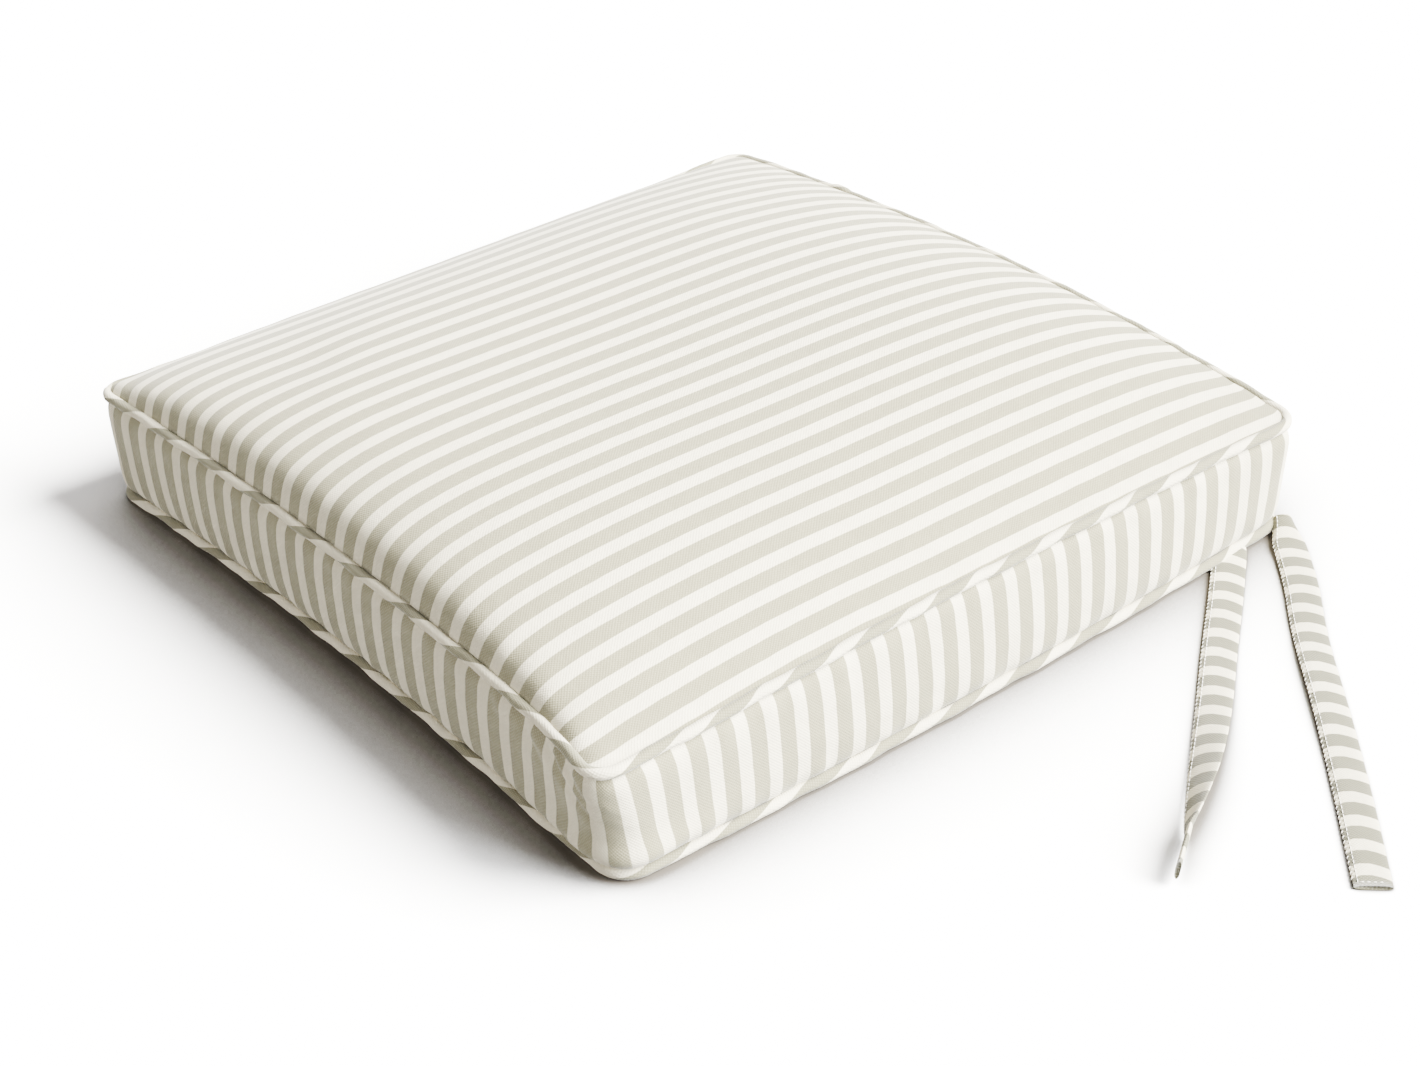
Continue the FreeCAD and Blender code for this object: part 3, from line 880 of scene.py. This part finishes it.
def make_piping(level, shape, cotton, cord_material, phase):
    """A cotton cord in a bias-cut cover."""
    turns = np.linspace(-0.5, 3.5, 1101)
    centre, outward = seam(turns, shape)
    along = arc_lengths(centre)
    # the cover's stripes meet again where the piping closes
    repeats = round(along[-1] * math.sin(BIAS) / PITCH)
    along = along * repeats * PITCH / math.sin(BIAS) / along[-1]
    around = 16
    radius = piping_radius(turns, along, around, shape is TOP_SEAM)
    wander = ripple(along, [(61 * MM, 0.3, 0.9), (27 * MM, 0.2, 2.2)])
    centre = centre + outward * (wander * 1.1 * MM)[:, None]
    if shape is BOTTOM_SEAM:
        centre[:, 2] = np.maximum(centre[:, 2], BOTTOM_SEAM["z"])

    def cover_cloth(angles):
        return bias_cloth(turns, along, angles, phase)

    core, core_outward = centre[::5], outward[::5]

    def no_cloth(angles):
        return np.zeros((len(core), len(angles), 2))

    cover = tube(level + "_cover", centre, outward, radius, around, cover_cloth, cotton)
    cord = tube(level + "_cord", core, core_outward, PIPING_CORD_RADIUS, 12, no_cloth, cord_material)
    return cover, cord


# ==== stitches ====


def stitch_row(name, line, normals, length, gap, material, radius=STITCH_RADIUS, sink=0.35, slant=0.0):
    """Stitches along a line of points: short bowed lengths of thread, half sunk in the cloth."""
    along = arc_lengths(line)
    bows = np.linspace(0, 1, 5)
    arch = np.sin(bows * math.pi)
    lift = (arch - 1) * radius * 1.5 + radius * (1 - 2 * sink)
    tubes = []
    for start in np.arange(gap, along[-1] - length - gap, length + gap):
        at = start + bows * length
        middle = np.stack([np.interp(at, along, line[:, k]) for k in range(3)], axis=1)
        up = unit(np.stack([np.interp(at, along, normals[:, k]) for k in range(3)], axis=1))
        across = np.cross(unit(middle[-1] - middle[0]), up)
        middle = middle + across * ((bows - 0.5) * slant)[:, None] + up * lift[:, None]
        tubes.append(round_rings(middle, across, up, radius * (0.55 + 0.45 * arch), 6))
    return tubes_piece(name, tubes, material, clockwise=True, mapped=True)


# ==== ties ====


def smooth_line(name, route):
    """The line a tie follows: a NURBS curve on the route, read back as points."""
    curve = bpy.data.curves.new(name, "CURVE")
    curve.dimensions = "3D"
    spline = curve.splines.new("NURBS")
    spline.points.add(len(route) - 1)
    for point, place in zip(spline.points, route):
        point.co = (*(c * MM for c in place), 1)
    spline.order_u = 3
    spline.use_endpoint_u = True
    spline.resolution_u = 24
    holder = bpy.data.objects.new(name, curve)
    bpy.context.collection.objects.link(holder)
    mesh = bpy.data.meshes.new_from_object(holder)
    line = np.array([v.co for v in mesh.vertices])
    bpy.data.objects.remove(holder)
    return line


def tie_section(width, count=24):
    """A tie's section: flat, with rounded folded edges. Its first point is at the sewn edge."""
    angles = np.linspace(0, math.tau, count, endpoint=False)
    across = np.sign(np.cos(angles)) * np.abs(np.cos(angles)) ** 0.55 * width / 2
    height = np.sin(angles) * (0.55 + 0.45 * np.abs(np.sin(angles))) * TIE_THICKNESS / 2
    return across, height


def tie_turn(name, line, share, widths):
    """How far the tie is turned about its own line, in radians, at each point."""
    if name == ROLLED_TIE:
        standing = np.clip((line[:, 2] - TIE_THICKNESS / 2) / (widths / 2), 0, 0.995)
        return np.arcsin(np.where(share > 0.3, standing, 0))
    return 0.10 * np.sin(share * 9.0) * np.clip(share * 4, 0, 1) * (1 - share)


def make_tie(name, route, cotton, thread):
    """A narrow folded tie, sewn along one edge, that lies on the floor or turns up on its edge."""
    line = smooth_line(name + "_line", route)
    along = arc_lengths(line)
    share = along / along[-1]
    ahead = unit(np.gradient(line, axis=0))
    side = unit(np.cross(ahead, [0, 0, 1.0]))
    up = np.cross(side, ahead)
    widths = np.full(len(line), TIE_WIDTH)
    if name == ROLLED_TIE:
        widths = TIE_WIDTH * (1 - 0.42 * np.clip((share - 0.72) / 0.28, 0, 1) ** 1.3)
    turn = tie_turn(name, line, share, widths)
    # gathered and plump where it comes out of the seam
    opening = np.clip(along / (24 * MM), 0, 1)
    opening = opening * opening * (3 - 2 * opening)
    widths = widths * (0.62 + 0.38 * opening)
    plump = 1 + 2.0 * (1 - opening)
    low = np.abs(np.sin(turn)) * widths / 2 + np.cos(turn) * plump * TIE_THICKNESS / 2
    line[:, 2] = np.maximum(line[:, 2], low + 0.05 * MM)
    sin, cos = np.sin(turn)[:, None], np.cos(turn)[:, None]
    flat = up * sin - side * cos
    face = up * cos + side * sin
    wobble = ripple(along, [(47 * MM, 0.35, 1.0), (29 * MM, 0.25, 0.2)])
    rings, cloth = [], []
    for i in range(len(line)):
        across, height = tie_section(widths[i])
        to_edge = across / (TIE_WIDTH / 2)
        height = height * (1 + 0.22 * wobble[i] * to_edge) * plump[i]
        rings.append(line[i] + flat[i] * across[:, None] + face[i] * height[:, None])
        bow = 1.6 * MM * np.cos(to_edge * 2.2 + 0.5)
        cloth.append(np.stack([along[i] + bow + 2 * MM, across], axis=-1))
    rings = np.array(rings)
    rings[..., 2] = np.maximum(rings[..., 2], 0.05 * MM)
    # the faces along the strip, then its two ends
    rows, count = rings.shape[:2]
    faces = grid_faces(rows, count, close_columns=True).tolist()
    faces += [list(range(count))[::-1], list(range((rows - 1) * count, rows * count))]
    strip = new_piece(name, rings.reshape(-1, 3), faces, cotton, np.concatenate(cloth))
    inset = widths / 2 - 2.0 * MM
    row = line - flat * inset[:, None] + face * (plump * TIE_THICKNESS / 2 * 0.92)[:, None]
    sewn = stitch_row(name + "_stitches", row, face, 2.3 * MM, 0.8 * MM, thread)
    edge = line - flat * (widths / 2 - 0.1 * MM)[:, None]
    outward = face * 0.2 - flat
    whip = stitch_row(
        name + "_edge_stitches", edge, outward, 1.5 * MM, 1.9 * MM, thread, 0.26 * MM, 0.2, 1.0 * MM
    )
    end = cross_row(line[-1], ahead[-1], flat[-1], face[-1], widths[-1])
    closing = stitch_row(name + "_end_stitches", *end, 2.0 * MM, 0.7 * MM, thread)
    tie = join(name, [strip, sewn, whip, closing])
    finish_piece(tie, name)


def cross_row(end, ahead, flat, face, width):
    """The line of stitches across a tie's end, and its normals."""
    reach = np.linspace(-1, 1, 9)[:, None] * (width / 2 - 2.2 * MM)
    row = end - ahead * 2.4 * MM + flat * reach + face * (TIE_THICKNESS / 2 * 0.96)
    return row, np.repeat(face[None], 9, axis=0)


# ==== zip ====


def make_zip_strip(name, heights, cotton, thread, fold_up):
    """One of the two strips that hold the zip: its inner edge is folded under and topstitched."""
    reach = ZIP_HALF / (2 * HALF)
    turns = turns_between(BACK - reach, BACK + reach)
    points, cloth = boxing_shape(turns, heights)
    edge, way = (-1, 1) if fold_up else (0, -1)
    tucked = points[:, [edge]] + np.array([0, -1.5, 0.4 * way]) * MM
    more = cloth[:, [edge]] + np.array([0, 2 * MM * way])
    points = np.concatenate([points, tucked][::way], axis=1)
    cloth = np.concatenate([cloth, more][::way], axis=1)
    strip = grid_piece(name, points, cloth, cotton)
    thicken(strip)
    inner = points[:, -4 if fold_up else 3] + np.array([0, 0.1 * MM, 0])
    normals = np.tile([0, 1.0, 0], (len(inner), 1))
    stitches = stitch_row(name + "_stitches", inner, normals, 2.6 * MM, 0.8 * MM, thread)
    finish_piece(join(name, [strip, stitches]), name)


def make_tape(name, low, high, material):
    """One side of the zip's woven tape."""
    x = np.linspace(-ZIP_HALF, ZIP_HALF, 160)
    z = np.linspace(low, high, 8)
    grid_x, grid_z = np.meshgrid(x, z, indexing="ij")
    y = BACK_FACE - 1.1 * MM + 0.08 * MM * np.sin(grid_x / (11 * MM))
    points = np.stack([grid_x, y, grid_z], axis=-1)[::-1]
    cloth = np.stack([grid_x, grid_z], axis=-1)[::-1]
    tape = grid_piece(name, points, cloth, material)
    thicken(tape, 0.45 * MM, 0)
    finish_piece(tape, name)


def make_coil(name, z, lean, material):
    """One row of teeth: a nylon coil sewn to the tape's edge, each tooth a bent loop."""
    bend = np.linspace(0, math.pi * 1.25, 7)
    tubes = []
    for x in np.arange(-COIL_HALF, COIL_HALF, TOOTH_PITCH) + (TOOTH_PITCH / 2 if lean > 0 else 0):
        middle = np.stack([
            x + 0.28 * MM * (bend / bend[-1] - 0.5),
            BACK_FACE - 0.1 * MM + 0.55 * MM * np.sin(bend),
            z - lean * 1.0 * MM * np.cos(bend),
        ], axis=1)
        ahead = unit(np.gradient(middle, axis=0))
        first = unit(np.cross(ahead, [1.0, 0, 0]))
        tubes.append(round_rings(middle, first, np.cross(ahead, first), 0.3 * MM, 6))
    coil = tubes_piece(name, tubes, material, clockwise=False, mapped=False)
    finish_piece(coil, name)


def rounded_plate(name, outline, y, thickness, bevel, material, holes=()):
    """A flat plate from a curve's outline in x and z, with rounded edges, centred on y."""
    curve = bpy.data.curves.new(name, "CURVE")
    curve.dimensions = "2D"
    curve.fill_mode = "BOTH"
    curve.extrude = thickness / 2 - bevel
    curve.bevel_depth = bevel
    curve.bevel_resolution = 3
    for line in (outline, *holes):
        spline = curve.splines.new("POLY")
        spline.points.add(len(line) - 1)
        for point, (x, z) in zip(spline.points, line):
            point.co = (x, z, 0, 1)
        spline.use_cyclic_u = True
    holder = bpy.data.objects.new(name + "_curve", curve)
    bpy.context.collection.objects.link(holder)
    mesh = bpy.data.meshes.new_from_object(holder)
    bpy.data.objects.remove(holder)
    mesh.transform(Matrix.Translation((0, y, 0)) @ Matrix.Rotation(math.pi / 2, 4, "X"))
    mesh.materials.clear()
    mesh.materials.append(material)
    plate = bpy.data.objects.new(name, mesh)
    bpy.context.collection.objects.link(plate)
    return plate


def oval(x, z, half_x, half_z, power=2.0, count=40):
    """Points round an oval; a higher power makes it squarer."""
    angles = np.linspace(0, math.tau, count, endpoint=False)
    cos, sin = np.cos(angles), np.sin(angles)
    across = x + half_x * np.sign(cos) * np.abs(cos) ** (2 / power)
    up = z + half_z * np.sign(sin) * np.abs(sin) ** (2 / power)
    return list(zip(across, up))


def node_box(node):
    """A CAD node's box: its middle, and half of each side."""
    low, high = (np.array(corner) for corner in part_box(node))
    return (low + high) / 2, (high - low) / 2


def make_slider(metal):
    """The slider's two shields, the post between them and the bridge that holds the pull."""
    (x, y, z), (half_x, half_y, half_z) = node_box("zip_slider")
    shield = oval(x, z, half_x, half_z, 3.2)
    inner_shield = oval(x, z, half_x, half_z * 0.92, 3.2)
    post = oval(x + half_x * 0.55, z, half_x * 0.3, half_z * 0.3)
    slider = join("zip_slider", [
        rounded_plate("zip_slider", shield, y + half_y - 2.6 * MM, 0.9 * MM, 0.3 * MM, metal),
        rounded_plate("slider_rear", inner_shield, y - half_y + 0.4 * MM, 0.8 * MM, 0.25 * MM, metal),
        rounded_plate("slider_post", post, y - 1.1 * MM, 2 * half_y - 2.4 * MM, 0.1 * MM, metal),
        make_bridge(x, z, y + half_y, metal),
    ])
    for polygon in slider.data.polygons:
        polygon.use_smooth = True
    finish_piece(slider, "zip_slider", "slider")


def make_bridge(x, z, top, metal):
    """The bent strip over the slider that the pull hangs from."""
    bend = np.linspace(0, math.pi, 13)
    middle_x = x - 2.9 * MM * np.cos(bend)
    middle_y = top - 2.4 * MM + 1.9 * MM * np.sin(bend) ** 0.7
    section = np.array([(-0.9, -0.3), (-0.75, 0.3), (0.75, 0.3), (0.9, -0.3)]) * MM
    points = [
        (mx - dy * math.cos(b), my + dy * math.sin(b), z + dz)
        for mx, my, b in zip(middle_x, middle_y, bend)
        for dz, dy in section
    ]
    return new_piece("slider_bridge", points, tube_faces(len(bend), len(section)), metal)


def make_pull(metal):
    """The pull: a tapered tab with a slot for the bridge and a hole near its end."""
    (x, y, z), (half_x, half_y, half_z) = node_box("zip_pull")
    root, tip = x + half_x, x - half_x
    # the upper edge from the root to the tip, with each point's share of the half height
    edge = [(root, 0.62), (root - 6 * MM, 0.72), (tip + 3 * MM, 1.0), (tip + 0.8 * MM, 0.82), (tip, 0.3)]
    outline = [(at, z + share * half_z) for at, share in edge]
    outline += [(at, z - share * half_z) for at, share in reversed(edge)]
    slot = oval(root - 2.6 * MM, z, 1.5 * MM, 0.95 * MM, 3.0, 24)
    hole = oval(tip + 3.6 * MM, z, 1.2 * MM, 1.2 * MM, 2.0, 24)
    pull = rounded_plate("zip_pull", outline, y, 2 * half_y, 0.22 * MM, metal, [slot, hole])
    finish_piece(pull, "zip_pull", "pull")


def make_stops(metal):
    """The bent metal stops at the zip's ends."""
    for node in ("zip_top_stops", "zip_bottom_stop"):
        (x, y, z), (half_x, half_y, half_z) = node_box(node)
        shape = oval(x, z, half_x, half_z, 4.0)
        finish_piece(rounded_plate(node, shape, y, 2 * half_y, 0.25 * MM, metal), node)


def make_zip(cotton, thread):
    tape, coil, metal = zip_tape(), zip_coil(), zip_metal()
    make_zip_strip("zip_strip_lower", np.linspace(0, 0.44, 10), cotton, thread, True)
    make_zip_strip("zip_strip_upper", np.linspace(0.56, 1, 10), cotton, thread, False)
    for level, heights in TAPE_HEIGHTS.items():
        make_tape(f"zip_tape_{level}", *heights, tape)
    for (level, height), lean in zip(COIL_HEIGHTS.items(), (-1, 1)):
        make_coil(f"zip_coil_{level}", height, lean, coil)
    make_stops(metal)
    make_slider(metal)
    make_pull(metal)


# ==== filling ====


def closed_between(name, upper, lower, material):
    """A solid between two grids of the same size, joined round their edges."""
    rows, columns = upper.shape[:2]
    count = rows * columns
    points = np.concatenate([upper.reshape(-1, 3), lower.reshape(-1, 3)])
    faces = grid_faces(rows, columns).tolist()
    faces += [face[::-1] for face in grid_faces(rows, columns, start=count).tolist()]
    numbers = np.arange(count).reshape(rows, columns)
    border = [numbers[:-1, 0], numbers[-1, :-1], numbers[:0:-1, -1], numbers[0, :0:-1]]
    border = np.concatenate(border)
    ahead = np.roll(border, -1)
    faces += [[a, a + count, b + count, b] for a, b in zip(border.tolist(), ahead.tolist())]
    return new_piece(name, points, faces, material)


def make_filling():
    """Foam block wrapped in wadding, just inside the cover."""
    wadding = fibre_fill("wadding", WADDING_WHITE, 160.0, 0.95)
    top, _ = top_shape(sink=WADDING_SINK[0], count=55)
    under = top.copy()
    under[..., 2] = WADDING_TOP_Z[0]
    top[..., 2] = np.maximum(top[..., 2], WADDING_TOP_Z[1])
    finish_padded(closed_between("wadding_top", top, under, wadding), "wadding_top")
    turns = np.linspace(-0.5, 3.5, 241)[:-1]
    outer, _ = boxing_shape(turns, np.linspace(0.06, 0.9, 13), sink=WADDING_SINK[1])
    inwards = WALL_THICKNESS / HALF
    inner = outer * np.array([1 - inwards, 1 - inwards, 1])
    ring = np.concatenate([outer, inner[:, ::-1]], axis=1)
    flat = np.zeros(ring.shape[:2] + (2,))
    wall = grid_piece("wadding_wall", ring, flat, wadding, close_rows=True, close_columns=True)
    finish_padded(wall, "wadding_wall")
    slab = rounded_block("wadding_bottom", *WADDING_SLAB, wadding)
    finish_padded(slab, "wadding_bottom")
    finish_padded(rounded_block("foam_core", *FOAM_BLOCK, foam()), "foam_core")


def rounded_block(name, half, low, high, radius, material):
    """A square block with rounded corners and edges."""
    corner = 12 * MM
    quarters = np.repeat(np.arange(4), 5)
    angles = quarters * math.pi / 2 + np.tile(np.linspace(0, math.pi / 2, 5), 4)
    middles = np.array([(1, 1), (-1, 1), (-1, -1), (1, -1)])[quarters] * (half - corner)
    outline = middles + corner * np.stack([np.cos(angles), np.sin(angles)], axis=1)
    lower_edge = [(low, radius), (low + radius * 0.3, radius * 0.3), (low + radius, 0)]
    upper_edge = [(low + high - z, inset) for z, inset in reversed(lower_edge)]
    rings = [
        np.column_stack([outline * (half - inset) / half, np.full(len(outline), z)])
        for z, inset in lower_edge + upper_edge
    ]
    faces = tube_faces(len(rings), len(outline))
    return new_piece(name, np.concatenate(rings), faces, material, smooth=False)


# ==== assembly ====


def finish_piece(piece, node, body="root"):
    """Say which CAD node a piece stands for, and the body it rides on."""
    piece.name = piece.data.name = node + "_shown"
    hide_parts(node)
    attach(piece, body)


def finish_padded(piece, node):
    finish_piece(piece, node)


def make_floor():
    corners = [(-12, -12, 0), (12, -12, 0), (12, 12, 0), (-12, 12, 0)]
    floor = new_piece("floor", corners, [(0, 1, 2, 3)], pale_floor())
    floor.location.z = -0.2 * MM
    floor.visible_diffuse = False


def build():
    place_camera()
    place_lights()
    cotton = striped_cotton("striped_cotton")
    # the ties' copy of the cotton, its darker sage painted shade
    tie_shaded_cotton = striped_cotton("tie_shaded_cotton", TIE_SHADED_SAGE)
    thread = sewing_thread()
    for name, route in TIE_ROUTES.items():
        make_tie(name, route, tie_shaded_cotton, thread)
    make_floor()
    for piece, node in zip(make_cover(cotton), ("top_panel", "boxing_band", "bottom_panel")):
        finish_padded(piece, node)
    cord = fibre_fill("cotton_cord", CORD_IVORY, 900.0, 0.9)
    # the piping's copy of the cotton, its darker sage painted shade
    piping_shaded_cotton = striped_cotton("piping_shaded_cotton", PIPING_SHADED_SAGE)
    for level, shape, phase in (("top", TOP_SEAM, 0.1), ("bottom", BOTTOM_SEAM, 0.45)):
        cover, core = make_piping(level, shape, piping_shaded_cotton, cord, phase)
        finish_piece(cover, f"{level}_piping_cover")
        finish_piece(core, f"{level}_piping_cord")
    make_zip(cotton, thread)
    make_filling()


build()
